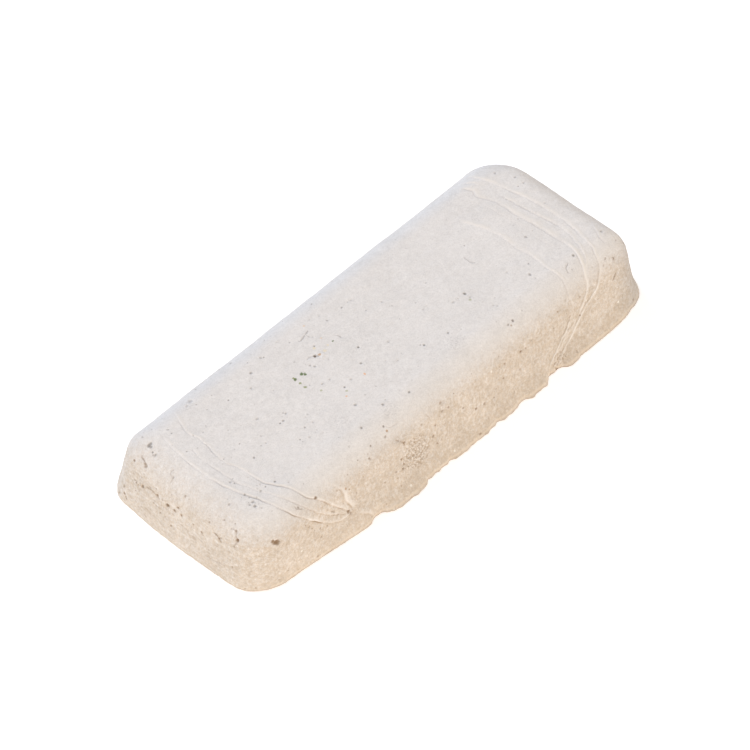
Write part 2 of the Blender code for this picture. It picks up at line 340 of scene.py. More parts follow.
# Coloured grains in the skin: (side, place, radius, colour).
GREEN = (0.10, 0.17, 0.035)
PALE_GREEN = (0.34, 0.38, 0.20)
ORANGE = (0.83, 0.52, 0.32)
PALE_ORANGE = (0.78, 0.66, 0.55)
PALER_GREEN = (0.52, 0.54, 0.40)
PALE_YELLOW = (0.80, 0.74, 0.60)
BROWN = (0.20, 0.13, 0.08)
TAN = (0.58, 0.40, 0.25)
PALE_BROWN = (0.52, 0.43, 0.36)
WHITE = (0.86, 0.84, 0.79)
GRAINS = (
    ("top", (-20, 5), 0.42, GREEN),
    ("top", (-19.5, 4.5), 0.36, GREEN),
    ("top", (-22, 5), 0.32, GREEN),
    ("top", (-22, 5.5), 0.24, PALE_GREEN),
    ("top", (-22, 3.5), 0.28, PALE_GREEN),
    ("top", (-22, 2), 0.32, PALE_GREEN),
    ("top", (-20.5, -1), 0.24, PALER_GREEN),
    ("top", (-17, -5), 0.26, PALER_GREEN),
    ("top", (19.5, -6.5), 0.30, PALER_GREEN),
    ("top", (-9, 6.5), 0.24, GREEN),
    ("top", (-11, -4.5), 0.30, ORANGE),
    ("top", (-18, -6), 0.27, ORANGE),
    ("top", (-10, 9), 0.26, PALE_ORANGE),
    ("top", (-10, 14), 0.24, PALE_ORANGE),
    ("top", (-14.5, 6.5), 0.32, BROWN),
    ("top", (-13.5, 6), 0.30, TAN),
    ("top", (-12, 6), 0.42, PALE_YELLOW),
    ("top", (-13, 8), 0.36, PALE_YELLOW),
    ("top", (-10.5, 6.5), 0.32, PALE_YELLOW),
    ("top", (21, -17), 0.22, PALE_BROWN),
    ("top", (-35.5, -7), 0.20, WHITE),
    ("front", (-33, 13), 0.22, TAN),
    ("front", (-18, 16.5), 0.22, TAN),
    ("front", (-3.5, 14.5), 0.26, PALE_BROWN),
    ("front", (-2, 12.5), 0.24, PALE_BROWN),
    ("front", (-3, 1.5), 0.24, WHITE),
    ("front", (-16.5, 2), 0.27, WHITE),
    ("front", (35.5, 1.5), 0.24, WHITE),
    ("front", (50.5, 4), 0.26, WHITE),
    ("front", (-47, 6), 0.26, WHITE),
    ("front", (11.5, 12.5), 0.30, WHITE),
)

# Grey, dusty patches: (x, y, z, radius, strength).
SMUDGES = (
    (8.5, -12.2, 18.3, 3.6, 0.8),
    (-14.3, -14.9, 17.9, 2.8, 0.8),
    (-51.6, -12.4, 18.2, 1.5, 1.0),
    (-42.4, 16.3, 18.0, 1.8, 1.0),
    (-54.8, 14.8, 17.5, 1.0, 0.8),
    (-24.0, -10.0, 18.3, 3.0, 0.5),
    (-5.0, 3.0, 18.3, 6.0, 0.35),
    (20.0, 6.0, 18.3, 6.0, 0.25),
    (38.0, 16.0, 18.0, 3.0, 0.4),
)

# ---- Camera and light ----

CAMERA_AZIMUTH = math.radians(-46.8)
CAMERA_ELEVATION = math.radians(49.1)
CAMERA_DISTANCE = 0.96
CAMERA_LENS = 218.1
CAMERA_AIM = Vector((-3.9, -0.85, HEIGHT / 2)) * MM


# Random lumps are sums of waves: how many, their lengths in sizes, and the highest lump.
WAVES, WAVE_LENGTHS, WAVE_LIMIT = 28, (0.75, 1.5), 2.5


def smooth_step(values):
    values = np.clip(values, 0.0, 1.0)
    return values * values * (3 - 2 * values)


def length_of(vectors):
    return np.linalg.norm(vectors, axis=-1)


def ripples(points, size, seed):
    """Smooth random lumps about `size` across, with a spread of 1.  Every use has its own seed."""
    random = np.random.default_rng(seed)
    total = np.zeros(len(points))
    for _ in range(WAVES):
        direction = random.normal(size=3)
        length = np.linalg.norm(direction) * size * random.uniform(*WAVE_LENGTHS)
        direction *= 2 * math.pi / length
        total += np.cos(points @ direction + random.uniform(0, 2 * math.pi))
    return np.clip(total / math.sqrt(WAVES / 2), -WAVE_LIMIT, WAVE_LIMIT)


# ---- The bar's plain shape ----


def wall_profile(side):
    """(inset, height) rows of one side, from the foot's rounded edge to the edge of the top."""
    draft, crown, flare = (SIDES[side][key] for key in ("draft", "crown", "flare"))
    slope = math.tan(draft)
    turn = math.pi / 2 - draft
    wall_top = HEIGHT - crown * (1 - math.cos(turn))
    edge = np.linspace(0.0, 1.0, FOOT_EDGE_LEVELS, endpoint=False)
    edge_heights = FOOT_EDGE_RADIUS * (1 - np.cos(edge * math.pi / 2))
    wall_heights = np.linspace(FOOT_EDGE_RADIUS, wall_top, WALL_LEVELS)
    heights = np.concatenate((edge_heights, wall_heights))
    share = np.clip(heights / FLARE_HEIGHT, 0.0, 1.0)
    rounding = FOOT_EDGE_RADIUS - np.sqrt(np.maximum(
        FOOT_EDGE_RADIUS ** 2 - np.maximum(FOOT_EDGE_RADIUS - heights, 0.0) ** 2, 0.0))
    insets = flare * (1 - (1 - share) ** 2) + slope * heights + rounding
    angles = turn * (1 - np.arange(1, CROWN_LEVELS + 1) / CROWN_LEVELS)
    crown_insets = flare + slope * wall_top + crown * (math.sin(turn) - np.sin(angles))
    crown_heights = HEIGHT - crown * (1 - np.cos(angles))
    return np.column_stack((np.concatenate((insets, crown_insets)),
                            np.concatenate((heights, crown_heights))))


def front_foot(x):
    """How far the front's foot stands out of the straight wall along the bar."""
    skirt = np.minimum((x - SKIRT_START) / SKIRT_RAMP, (SKIRT_STOP - x) / SKIRT_RAMP)
    reach = SKIRT_REACH * smooth_step(skirt)
    for centre, half_width, height in SCALLOPS:
        offset = np.abs(x - centre) / half_width
        reach = np.maximum(reach, height * (1 - np.minimum(offset, 1.0) ** 4))
    chip = np.minimum(np.abs(x - CHIP_CENTRE) / CHIP_HALF_WIDTH, 1.0)
    return reach - CHIP_DEPTH * (1 - chip ** 2)


def hand_made(points):
    """Moves the regular loft's points to where the cast bar has them."""
    x, y, z = points.T
    across = np.minimum((2 * y / WIDTH) ** 2, 1.0)
    along = np.minimum((2 * x / LENGTH) ** 2, 1.0)
    shift_x = np.where(x < 0, -NEAR_END_BULGE * along * (1 - across), 0.0)
    wall_share = z / (HEIGHT - SIDES["front"]["crown"])
    tuck = TUCK * np.clip((TUCK_START - x) / TUCK_RUN, 0.0, 1.0) * (1 - smooth_step(wall_share))
    flash = front_foot(x) * (1 - smooth_step(z / FLASH_HEIGHT))
    shift_y = np.where(y < 0, (tuck - flash) * across, 0.0)
    return np.column_stack((x + shift_x, y + shift_y, z))


def corner_arc(place, before, after, profiles, level):
    """One rounded corner at one level, as rows of x, y, z."""
    end, long_side = (after, before) if place % 2 == 0 else (before, after)
    inset = {side: profile[level][0] for side, profile in profiles.items()}
    shrink = CORNER_TIGHTENING * (inset[end] + inset[long_side]) / 2
    radius = max(CORNER_RADII[end, long_side] - shrink, CORNER_RADIUS_MIN)
    end_sign = 1 if end == "far_end" else -1
    side_sign = 1 if long_side == "back" else -1
    centre_x = end_sign * (LENGTH / 2 - inset[end] - radius)
    centre_y = side_sign * (WIDTH / 2 - inset[long_side] - radius)
    turned = np.linspace(0.0, math.pi / 2, 2 * ARC_STEPS + 1)
    angle = turned + (place - 1) * math.pi / 2
    share = np.sin(turned) ** 2
    height = profiles[before][level][1] * (1 - share) + profiles[after][level][1] * share
    return np.column_stack((centre_x + radius * np.cos(angle),
                            centre_y + radius * np.sin(angle), height))


def evenly_spread(curve, steps):
    """The curve's points again, `steps` of them at even distances, without the last one."""
    travelled = np.concatenate(((0.0,), np.cumsum(length_of(np.diff(curve, axis=0)))))
    places = np.linspace(0.0, travelled[-1], steps, endpoint=False)
    return np.column_stack([np.interp(places, travelled, axis) for axis in curve.T])


def level_ring(profiles, level):
    """One level's outline, cut at the middle of its corners: far end, back, near end, front."""
    turns = (("front", "far_end"), ("far_end", "back"), ("back", "near_end"), ("near_end", "front"))
    arcs = [corner_arc(place, *turn, profiles, level) for place, turn in enumerate(turns)]
    steps = (ACROSS_STEPS, ALONG_STEPS, ACROSS_STEPS, ALONG_STEPS)
    stretches = []
    for place, count in enumerate(steps):
        following = arcs[(place + 1) % len(arcs)]
        curve = np.concatenate((arcs[place][ARC_STEPS:], following[:ARC_STEPS + 1]))
        stretches.append(evenly_spread(curve, count))
    return np.concatenate(stretches)


def ring_sides(ring):
    """A ring's far end, back, near end and front, each running towards +X or +Y."""
    round_again = np.concatenate((ring, ring[:1]))
    corners = np.cumsum((0, ACROSS_STEPS, ALONG_STEPS, ACROSS_STEPS, ALONG_STEPS))
    far, back, near, front = (round_again[start:stop + 1]
                              for start, stop in zip(corners, corners[1:]))
    return far, back[::-1], near[::-1], front


def filled_outline(ring):
    """A grid of points across a closed ring, with the ring's own points along its border."""
    far, back, near, front = ring_sides(ring)
    u = np.linspace(0.0, 1.0, ALONG_STEPS + 1)[:, None, None]
    v = np.linspace(0.0, 1.0, ACROSS_STEPS + 1)[None, :, None]
    ruled_across = (1 - v) * front[:, None] + v * back[:, None]
    ruled_along = (1 - u) * near[None] + u * far[None]
    corners = ((1 - u) * (1 - v) * front[0] + u * (1 - v) * front[-1]
               + (1 - u) * v * back[0] + u * v * back[-1])
    return ruled_across + ruled_along - corners


def grid_names(first_inner, ring_start):
    """Point numbers over a filled outline: the ring's numbers round the border, new ones inside."""
    names = np.zeros((ALONG_STEPS + 1, ACROSS_STEPS + 1), int)
    inner = (ALONG_STEPS - 1) * (ACROSS_STEPS - 1)
    names[1:-1, 1:-1] = first_inner + np.arange(inner).reshape(ALONG_STEPS - 1, ACROSS_STEPS - 1)
    ring = ring_start + np.arange(2 * (ALONG_STEPS + ACROSS_STEPS))
    names[-1, :], names[:, -1], names[0, :], names[:, 0] = ring_sides(ring)
    return names


def grid_faces(names):
    corners = (names[:-1, :-1], names[1:, :-1], names[1:, 1:], names[:-1, 1:])
    return np.stack(corners, axis=-1).reshape(-1, 4)


def plain_bar():
    """The design's shape as points and four-cornered faces, in millimetres."""
    profiles = {side: wall_profile(side) for side in SIDES}
    levels = len(profiles["front"])
    rings = [level_ring(profiles, level) for level in range(levels)]
    count = len(rings[0])
    top = filled_outline(rings[-1])[1:-1, 1:-1].reshape(-1, 3)
    foot = filled_outline(rings[0])[1:-1, 1:-1].reshape(-1, 3)
    points = hand_made(np.concatenate(rings + [top, foot]))
    middle = (points.min(axis=0) + points.max(axis=0)) / 2
    wanted = (block_low + block_high) / 2
    points[:, :2] += (wanted - middle)[:2]
    names = np.arange(levels * count).reshape(levels, count)
    following = np.roll(names, -1, axis=1)
    walls = np.stack((names[:-1], following[:-1], following[1:], names[1:]), axis=-1)
    top_names = grid_names(levels * count, (levels - 1) * count)
    foot_names = grid_names(levels * count + len(top), 0)
    faces = np.concatenate((walls.reshape(-1, 4), grid_faces(top_names),
                            grid_faces(foot_names)[:, ::-1]))
    return points, faces


# ---- Creases: routes laid on the plain shape, and their relief ----


def seen_place(tree, side, place):
    """The point of the bar's surface that one side's view shows at a place."""
    first, second = place
    start, direction = {
        "top": ((first, second, OUTSIDE), (0, 0, -1)),
        "front": ((first, -OUTSIDE, second), (0, 1, 0)),
        "near_end": ((-OUTSIDE, first, second), (1, 0, 0)),
    }[side]
    location, _, _, _ = tree.ray_cast(Vector(start), Vector(direction))
    return tuple(location)


def smooth_route(points):
    """A smooth curve through the route's points, with a point every ROUTE_STEP."""
    points = np.array(points)
    padded = np.concatenate((2 * points[:1] - points[1:2], points, 2 * points[-1:] - points[-2:-1]))
    pieces = []
    for start in range(len(points) - 1):
        before, a, b, after = padded[start:start + 4]
        count = max(int(np.linalg.norm(b - a) / ROUTE_STEP), 2)
        t = np.linspace(0.0, 1.0, count, endpoint=False)[:, None]
        pieces.append(0.5 * (2 * a + (b - before) * t
                             + (2 * before - 5 * a + 4 * b - after) * t ** 2
                             + (3 * a - before - 3 * b + after) * t ** 3))
    return np.concatenate(pieces + [points[-1:]])


def laid_on(tree, route):
    """The route's points moved onto the surface, with the surface's normals there."""
    found = [tree.find_nearest(Vector(point)) for point in route]
    places = np.array([location for location, _, _, _ in found])
    normals = np.array([normal for _, normal, _, _ in found])
    return places, normals


def laid_route(tree, points, wander, seed):
    """A smooth curve on the surface through the points: its places, and its side's direction."""
    route = smooth_route(points)
    shake = [ripples(route, ROUTE_WANDER_SIZE, seed + axis) for axis in range(3)]
    places, normals = laid_on(tree, route + wander * np.column_stack(shake))
    tangents = np.gradient(places, axis=0)
    sides = np.cross(tangents, normals)
    sides /= length_of(sides)[:, None]
    return places, sides


def coming_and_going(places, life, seed):
    """A strength along a route that swells and dies down."""
    mean, spread, size, least, most = life
    return np.clip(mean + spread * ripples(places, size, seed), least, most)


def crease_routes(tree):
    """Each crease's places and sides, and how strong its ridge and its groove are there."""
    routes = []
    for number, (ridge, groove, wide, on_top, on_front) in enumerate(CREASES.values()):
        points = [seen_place(tree, "top", place) for place in on_top]
        points += [seen_place(tree, "front", place) for place in on_front]
        places, sides = laid_route(tree, points, ROUTE_WANDER, 40 + 3 * number)
        travelled = np.arange(len(places)) * ROUTE_STEP
        left = travelled[-1] - travelled
        fade = smooth_step(np.minimum(travelled, left) / ROUTE_FADE + ROUTE_END_SHARE)
        ridges = ridge * fade * coming_and_going(places, RIDGE_LIFE, 90 + number)
        grooves = groove * fade * coming_and_going(places, GROOVE_LIFE, 120 + number)
        routes.append((places, sides, ridges, grooves, wide))
    return routes


def nick_routes(tree):
    routes = []
    for number, (side, _, _, _, places) in enumerate(NICKS):
        points = [seen_place(tree, side, place) for place in places]
        routes.append(laid_route(tree, points, NICK_WANDER, 200 + 3 * number))
    return routes


def placed_pits(tree):
    """The listed pits as (x, y, z, radius, dark)."""
    return [(*seen_place(tree, side, place), radius, dark)
            for side, pits in PITS.items() for place, radius, dark in pits]


def placed_grains(tree):
    """The coloured grains as (place, radius, colour)."""
    return [(seen_place(tree, side, place), radius, colour)
            for side, place, radius, colour in GRAINS]


class Skin:
    """The skin's points, in order along the bar so that the ones near a mark are found fast."""

    def __init__(self, points, normals=None):
        self.points = points
        self.normals = normals
        self.order = np.argsort(points[:, 0])
        self.along = points[self.order, 0]

    def near_spot(self, centre, reach):
        """Numbers of the points within `reach` of a place, and their distances."""
        start, stop = np.searchsorted(self.along, (centre[0] - reach, centre[0] + reach))
        numbers = self.order[start:stop]
        distance = length_of(self.points[numbers] - np.array(centre))
        keep = distance < reach
        return numbers[keep], distance[keep]

    def near_route(self, places, reach):
        """Numbers of the points near a route, their distances, and the route's nearest place."""
        best = np.full(len(self.points), np.inf)
        which = np.zeros(len(self.points), int)
        for start in range(0, len(places), ROUTE_RUN):
            run = places[start:start + ROUTE_RUN + 1]
            middle = run.mean(axis=0)
            numbers, _ = self.near_spot(middle, reach + length_of(run - middle).max())
            distance = length_of(self.points[numbers][:, None] - run[None])
            nearest = distance.argmin(axis=1)
            closest = distance[np.arange(len(numbers)), nearest]
            better = closest < best[numbers]
            best[numbers[better]] = closest[better]
            which[numbers[better]] = start + nearest[better]
        numbers = np.flatnonzero(best < reach)
        return numbers, best[numbers], which[numbers]


def crease_relief(skin, routes):
    """Height of the creases, and how much of a crest and of a groove each point is on: the material
    paints a highlight on crests and shade in grooves.
    """
    relief = np.zeros(len(skin.points))
    crest = np.zeros(len(skin.points))
    groove = np.zeros(len(skin.points))
    for places, sides, ridges, grooves, wide in routes:
        numbers, _, which = skin.near_route(places, CREASE_REACH)
        away = skin.points[numbers] - places[which]
        offset = np.einsum("ij,ij->i", away, sides[which])
        tight = smooth_step((TIGHT_START - places[:, 1]) / TIGHT_RUN) * (places[:, 0] > 0)
        widths = (wide * (1 - TIGHT_SHARE * tight))[which]
        width = widths * np.where(offset > RIDGE_PLACE, RIDGE_WIDTH, RIDGE_TAIL)
        ridge = np.exp(-((offset - RIDGE_PLACE) / width) ** 2) * ridges[which]
        ditch = np.exp(-((offset - widths * GROOVE_PLACE) / GROOVE_WIDTH) ** 2) * grooves[which]
        height = RIDGE_HEIGHT * ridge - GROOVE_DEPTH * ditch
        stronger = np.abs(height) > np.abs(relief[numbers])
        relief[numbers] = np.where(stronger, height, relief[numbers])
        crest[numbers] = np.maximum(crest[numbers], ridge)
        groove[numbers] = np.maximum(groove[numbers], ditch)
    return relief, crest, groove


def nick_relief(skin, routes):
    """Depth of the nicks, and how much painted shade each point in one gets."""
    relief = np.zeros(len(skin.points))
    dark = np.zeros(len(skin.points))
    for (_, depth, half_width, tint, _), (places, _) in zip(NICKS, routes):
        numbers, distance, which = skin.near_route(places, NICK_WIDTHS * half_width)
        uneven = 1 + NICK_UNEVEN * ripples(places, NICK_UNEVEN_SIZE, 230)
        width = half_width * uneven[which]
        ditch = np.exp(-(distance / width) ** 2)
        relief[numbers] = np.minimum(relief[numbers], -depth * ditch)
        dark[numbers] = np.maximum(dark[numbers], tint * ditch)
    return relief, dark


# ---- Pits, crumbs, chips and rough patches ----


def scattered_pits(skin):
    """Small pits at random places, thicker towards the near end and on the walls."""
    random = np.random.default_rng(5)
    points, up = skin.points, skin.normals[:, 2]
    near = smooth_step((NEAR_PITS_START - points[:, 0]) / NEAR_PITS_RUN)
    weight = PITS_ANYWHERE + PITS_NEAR_END * near + PITS_ON_WALLS * (up < WALL_UP)
    clumps = ripples(points, CLUMP_SIZE, 6) > CLUMP_LEVEL
    weight *= np.where(clumps, 1.0, PITS_BETWEEN_CLUMPS) * (up > UNDERSIDE_UP)
    chosen = random.choice(len(points), SCATTERED_PITS, p=weight / weight.sum(), replace=False)
    low, high = SCATTERED_PIT_RADIUS
    radii = low + (high - low) * random.random(SCATTERED_PITS) ** 2
    low, high = SCATTERED_PIT_DARK
    darks = low + (high - low) * random.random(SCATTERED_PITS) ** 2
    return [(*points[number], radius, dark)
            for number, radius, dark in zip(chosen, radii, darks)]


def pit_relief(skin, pits):
    """Depth of the pits, and how much painted shade each point in one gets."""
    relief = np.zeros(len(skin.points))
    hollow = np.zeros(len(skin.points))
    ragged = 1 + PIT_EDGE_RAGGED * ripples(skin.points, PIT_EDGE_SIZE, 21)
    for x, y, z, radius, dark in pits:
        numbers, distance = skin.near_spot((x, y, z), PIT_REACH * radius + PIT_REACH_EXTRA)
        share = distance / (PIT_SWELL * radius) * ragged[numbers]
        depth = radius * (PIT_DEPTH + PIT_DARK_DEPTH * dark)
        bowl = 1 - smooth_step(share / PIT_BOWL)
        bottom = 1 - smooth_step((share - PIT_BOTTOM) / PIT_BOTTOM_RUN)
        relief[numbers] = np.minimum(relief[numbers], -depth * bowl)
        hollow[numbers] = np.maximum(hollow[numbers], dark * bottom)
    return relief, hollow


def crumb_relief(skin):
    relief = np.zeros(len(skin.points))
    ragged = 1 + CRUMB_RAGGED * ripples(skin.points, CRUMB_EDGE_SIZE, 22)
    for x, y, radius, height in CRUMBS:
        numbers, distance = skin.near_spot((x, y, HEIGHT), CRUMB_REACH * radius)
        crumb = height * (1 - smooth_step(distance / radius * ragged[numbers]))
        relief[numbers] = np.maximum(relief[numbers], crumb)
    return relief


def chip_relief(skin):
    """The flat facet on the front crown, deepest along its lower edge."""
    relief = np.zeros(len(skin.points))
    numbers, distance = skin.near_spot(CROWN_CHIP, CROWN_CHIP_RADIUS * CHIP_REACH)
    below = (skin.points[numbers, 2] - CROWN_CHIP[2]) / CROWN_CHIP_RADIUS
    face = 1 - smooth_step((distance / CROWN_CHIP_RADIUS - CHIP_FACE) / CHIP_FACE_RUN)
    lip = smooth_step((below - CHIP_LIP) / CHIP_LIP_RUN)
    slope = np.clip(CHIP_SLOPE_TOP - below, 0.0, CHIP_SLOPE_RUN) / CHIP_SLOPE_RUN
    relief[numbers] = -CROWN_CHIP_DEPTH * face * lip * slope
    return relief


def patch_strength(skin, patches):
    """How strongly each point lies in one of the patches, from 0 to 1."""
    strength = np.zeros(len(skin.points))
    for x, y, z, radius, weight in patches:
        numbers, distance = skin.near_spot((x, y, z), radius)
        patch = weight * (1 - smooth_step((distance / radius - PATCH_CORE) / PATCH_EDGE))
        strength[numbers] = np.maximum(strength[numbers], patch)
    return strength


def rough_relief(skin):
    """Height of the broken patches, how much painted shade their cavities get, and how much painted
    highlight their crests get.
    """
    strength = patch_strength(skin, ROUGH_PATCHES)
    fine = ripples(skin.points, ROUGH_SIZE / 2, 32)
    broken = ripples(skin.points, ROUGH_SIZE, 31) + ROUGH_FINE_SHARE * fine
    relief = ROUGH_HEIGHT * strength * np.minimum(broken, ROUGH_CREST_CUT)
    dark = strength * smooth_step((-broken - ROUGH_DARK_START) / ROUGH_TINT_RUN)
    pale = strength * smooth_step((broken - ROUGH_PALE_START) / ROUGH_TINT_RUN)
    return relief, dark, pale


def low_share(skin):
    """1 on the lower half of the walls, wherever the skin faces there, and 0 above it."""
    return 1 - smooth_step((skin.points[:, 2] - LOW_WALL_HEIGHT) / LOW_WALL_RUN)


def wall_shares(skin):
    """How much each point belongs to an upright wall, and how much of that wall is an end."""
    across, along, up = np.abs(skin.normals.T[[1, 0, 2]])
    upright = np.maximum(1 - smooth_step((up - WALL_START) / WALL_RUN), low_share(skin))
    end = along ** 2 / (along ** 2 + across ** 2 + 1e-6)
    return upright, end


def drag_relief(skin):
    """Fine lines the mould drew as the bar slid out: level on the ends, upright on the sides."""
    upright, end = wall_shares(skin)
    level_lines = ripples(skin.points * np.array(END_LINE_STRETCH), END_LINE_SIZE, 33)
    upright_lines = ripples(skin.points * np.array(WALL_LINE_STRETCH), WALL_LINE_SIZE, 34)
    return upright * (END_LINE_HEIGHT * end * level_lines
                      + WALL_LINE_HEIGHT * (1 - end) * upright_lines)


def lump_relief(skin):
    points = skin.points
    relief = sum(height * ripples(points, size, seed) for height, size, seed in LUMPS)
    low = 1 - smooth_step(points[:, 2] / FOOT_RAGGED_REACH)
    inside = np.minimum(points[:, 0] - FOOT_RAGGED_START, FOOT_RAGGED_STOP - points[:, 0])
    flash = smooth_step(inside / FOOT_RAGGED_RAMP) * smooth_step(-points[:, 1] / FRONT_RUN)
    height = FOOT_EVEN_HEIGHT + (FOOT_RAGGED_HEIGHT - FOOT_EVEN_HEIGHT) * flash
    ragged = ripples(points * np.array(FOOT_RAGGED_STRETCH), FOOT_RAGGED_SIZE, 35)
    return relief + height * low * ragged


def painted_warm_shade(skin):
    """How much painted warm shade the skin gets: hardly any on the top, most low on the walls."""
    x, y, z = skin.points.T
    up = skin.normals[:, 2]
    _, end = wall_shares(skin)
    side_cream = 1 - smooth_step((up - SIDE_CREAM_START) / SIDE_CREAM_RUN)
    end_cream = np.interp(up, END_CREAM_UP, END_CREAM_SHARE)
    warm_shade = CREAM * np.maximum(side_cream + (end_cream - side_cream) * end, low_share(skin))
    front = smooth_step(-y / FRONT_RUN) * (1 - end)
    low = 1 - smooth_step(z / FRONT_CREAM_HEIGHT)
    along = smooth_step((x - FRONT_CREAM_START) / FRONT_CREAM_RUN)
    warm_shade *= 1 + FRONT_CREAM * front * low * along
    warm_shade *= 1 + NEAR_CORNER_CREAM * front * smooth_step((NEAR_CORNER_START - x) / NEAR_CORNER_RUN)
    return warm_shade


def painted_far_corner_shade(skin):
    """Painted shade: 1 on the walls round the far front corner, fading to 0 away from it."""
    x, y, _ = skin.points.T
    wall = 1 - smooth_step((skin.normals[:, 2] - FAR_CORNER_UP) / FAR_CORNER_UP_RUN)
    return (wall * smooth_step((x - FAR_CORNER_X) / FAR_CORNER_RUN)
            * smooth_step((FAR_CORNER_Y - y) / FAR_CORNER_RUN))


def foot_contact_shadow(skin):
    """A thin painted contact shadow round the foot's edge, broken here and there."""
    line = np.exp(-(skin.points[:, 2] / FOOT_LINE_HEIGHT) ** 2)
    breaks = FOOT_LINE_SHARE + FOOT_LINE_BREAKS * ripples(skin.points, FOOT_BREAK_SIZE, 36)
    return line * np.clip(breaks, 0.0, 1.0)


def painted_foot_highlight(skin):
    """Painted highlight on the rim above the foot's edge, fainter painted light on the wall above.
    """
    z = skin.points[:, 2]
    upright, end = wall_shares(skin)
    rim = np.exp(-((z - FOOT_RIM_PLACE) / FOOT_RIM_HEIGHT) ** 2)
    glow = FOOT_GLOW_SHARE * (1 - smooth_step((z - FOOT_GLOW_HEIGHT) / FOOT_GLOW_RUN))
    return np.maximum(rim, glow) * upright * (1 + (FOOT_RIM_END - 1) * end)


# ---- Making the piece ----


def mesh_vectors(things, name):
    values = np.empty(len(things) * 3, np.float32)
    things.foreach_get(name, values)
    return values.reshape(-1, 3).astype(float)


def skin_of(mesh):
    return Skin(mesh_vectors(mesh.vertices, "co"), mesh_vectors(mesh.vertex_normals, "vector"))


def mark_points(skin, reach, creases, nicks, pits):
    """Which points lie near a crease, a nick or a pit."""
    marked = np.zeros(len(skin.points), bool)
    for places, *_ in creases:
        marked[skin.near_route(places, reach)[0]] = True
    for places, _ in nicks:
        marked[skin.near_route(places, NICK_REACH * reach)[0]] = True
    for x, y, z, radius, _ in pits:
        around = FINE_PIT_REACH * radius + FINE_PIT_EDGE * reach
        marked[skin.near_spot((x, y, z), around)[0]] = True
    for x, y, radius, _ in CRUMBS:
        marked[skin.near_spot((x, y, HEIGHT), FINE_CRUMB_REACH * radius)[0]] = True
    if reach == FINE_REACH[0]:
        marked[patch_strength(skin, ROUGH_PATCHES[:2]) > ROUGH_SPLIT_STRENGTH] = True
    return marked


def fine_net(mesh, creases, nicks, pits):
    """The plain shape as triangles, with its faces split twice near the marks."""
    net = bmesh.new()
    net.from_mesh(mesh)
    for reach in FINE_REACH:
        skin = Skin(np.array([vert.co for vert in net.verts]))
        marked = mark_points(skin, reach, creases, nicks, pits)
        edges = [edge for edge in net.edges
                 if marked[edge.verts[0].index] and marked[edge.verts[1].index]]
        bmesh.ops.subdivide_edges(net, edges=edges, cuts=1, use_grid_fill=True)
        net.verts.index_update()
    bmesh.ops.triangulate(net, faces=net.faces)
    net.to_mesh(mesh)
    net.free()


def store(mesh, name, values):
    attribute = mesh.attributes.new(name, "FLOAT", "POINT")
    attribute.data.foreach_set("value", np.asarray(values, np.float32))


def carve(mesh, creases, nicks, pits):
    """Moves every point along its normal by the relief, and keeps what the material needs."""
    skin = skin_of(mesh)
    creased, crest, groove = crease_relief(skin, creases)
    nicked, nick_shade = nick_relief(skin, nicks)
    pitted, pit_shade = pit_relief(skin, pits)
    broken, rough_cavity_shade, rough_crest_highlight = rough_relief(skin)
    relief = (creased + np.minimum(nicked, pitted) + broken + crumb_relief(skin)
              + chip_relief(skin) + drag_relief(skin) + lump_relief(skin))
    points, normals = skin.points, skin.normals
    direction = normals * np.array((1.0, 1.0, 0.0))
    direction[:, 2] = normals[:, 2] * smooth_step(points[:, 2] / FOOT_EDGE_RADIUS)
    flat_foot = (points[:, 2] < FLAT_FOOT_HEIGHT) & (normals[:, 2] < FLAT_FOOT_UP)
    moved = points + direction * np.where(flat_foot, 0.0, relief)[:, None]
    moved[:, 2] = np.maximum(moved[:, 2], 0.0)
    moved = np.clip(moved, block_low - STANDING_OUT, block_high + STANDING_OUT)
    mesh.vertices.foreach_set("co", (moved * MM).astype(np.float32).ravel())
    upright, end = wall_shares(skin)
    # Painted warm shade on the walls, by how far the skin faces up.
    store(mesh, "warm_shade", painted_warm_shade(skin))
    store(mesh, "end", upright * end)
    store(mesh, "side", upright * (1 - end))
    # Painted highlight on crease crests and on the broken patches' crests.
    store(mesh, "crest", np.maximum(crest, rough_crest_highlight))
    # Painted highlight on the foot's rim, and fainter painted light on the wall above it.
    store(mesh, "rim", painted_foot_highlight(skin))
    # Painted shade round the far front corner.
    store(mesh, "painted_far_shade", painted_far_corner_shade(skin))
    # Painted shade in the bottoms of pits and nicks.
    store(mesh, "hollow", np.maximum(pit_shade, nick_shade))
    # Painted shade in crease grooves and in the broken patches' cavities.
    store(mesh, "groove", np.maximum(groove, ROUGH_GROOVE_SHARE * rough_cavity_shade))
    # 1 below the top's level, where pores, grooves and hollows are drawn browner.
    store(mesh, "browner_below", smooth_step((BROWNER_BELOW - points[:, 2]) / BROWNER_RUN))
    # Painted contact shadow along the foot's edge.
    store(mesh, "foot_contact_shadow", foot_contact_shadow(skin))
    store(mesh, "smudge", patch_strength(skin, SMUDGES))
    mesh.update()


def thinned(piece, triangles):
    """Merges triangles where the bar is smooth, until the given number is left."""
    decimate = piece.modifiers.new("thin", "DECIMATE")
    decimate.ratio = triangles / len(piece.data.polygons)
    graph = bpy.context.evaluated_depsgraph_get()
    thin = bpy.data.meshes.new_from_object(piece.evaluated_get(graph), depsgraph=graph,
                                           preserve_all_data_layers=True)
    piece.modifiers.clear()
    old = piece.data
    piece.data = thin
    bpy.data.meshes.remove(old)


def chalk_bar():
    points, faces = plain_bar()
    tree = BVHTree.FromPolygons(points.tolist(), faces.tolist())
    mesh = bpy.data.meshes.new("cast_chalk_bar")
    mesh.from_pydata(points.tolist(), [], faces.tolist())
    creases = crease_routes(tree)
    nicks = nick_routes(tree)
    pits = placed_pits(tree) + scattered_pits(skin_of(mesh))
    fine_net(mesh, creases, nicks, pits)
    carve(mesh, creases, nicks, pits)
    piece = bpy.data.objects.new("cast_chalk_bar", mesh)
    bpy.context.scene.collection.objects.link(piece)
    thinned(piece, TRIANGLES)
    piece.data.shade_smooth()
    piece.data.materials.append(chalk_material(placed_grains(tree)))
    return piece


# ---- Material ----

